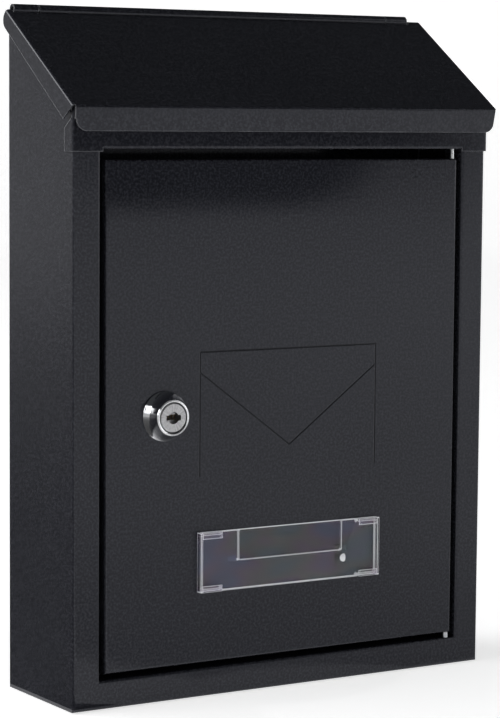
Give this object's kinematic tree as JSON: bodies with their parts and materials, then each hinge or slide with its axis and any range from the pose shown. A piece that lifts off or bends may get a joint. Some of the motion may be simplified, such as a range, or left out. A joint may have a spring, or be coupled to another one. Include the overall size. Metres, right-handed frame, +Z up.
{
  "type": "wall mounted mailbox",
  "caption": "Small black folded-steel wall mailbox with a sloping rain lid hinged along its back edge, a locked front door and a clear label holder.",
  "frame": {"origin": "middle of the four wall screw holes, on the wall plane", "axes": "+Z up, the front faces -Y, +X to the right of someone facing the front"},
  "size_m": [0.221, 0.068, 0.3026],
  "materials": {
    "black_coat": "satin powder coat with a fine texture",
    "chrome": "polished",
    "plug_metal": "turned face with a fine radial grain",
    "zinc": "zinc plated",
    "brass": "stamped",
    "clear_plastic": "clear moulded polystyrene"
  },
  "bodies": {
    "body": {"body_shell": "black_coat", "back_panel": "black_coat", "header_rail": "black_coat", "lid_rod": "zinc", "door_pin_top": "zinc", "door_pin_bottom": "zinc"},
    "lid": {"lid": "black_coat"},
    "door": {"door": "black_coat", "lock_housing": "chrome", "lock_washer": "zinc", "lock_nut": "zinc", "label_base": "clear_plastic", "label_cover": "clear_plastic"},
    "plug": {"lock_plug": "plug_metal", "wafers": "brass", "wafer_springs": "zinc", "stop_washer": "zinc", "lock_cam": "zinc", "cam_washer": "zinc", "cam_screw": "zinc"}
  },
  "joints": [
    {"name": "lid_hinge", "type": "hinge", "parent": "body", "child": "lid", "pos_m": [0, -0.0024, 0.1752], "axis": [-1, 0, 0], "range_deg": [0, 110]},
    {"name": "door_hinge", "type": "hinge", "parent": "body", "child": "door", "pos_m": [0.0902, -0.0582, 0], "axis": [0, 0, 1], "range_deg": [0, 110]},
    {"name": "lock_turn", "type": "hinge", "parent": "door", "child": "plug", "pos_m": [-0.0631, -0.06, 0.0005], "axis": [0, 1, 0], "range_deg": [0, 90]}
  ]
}
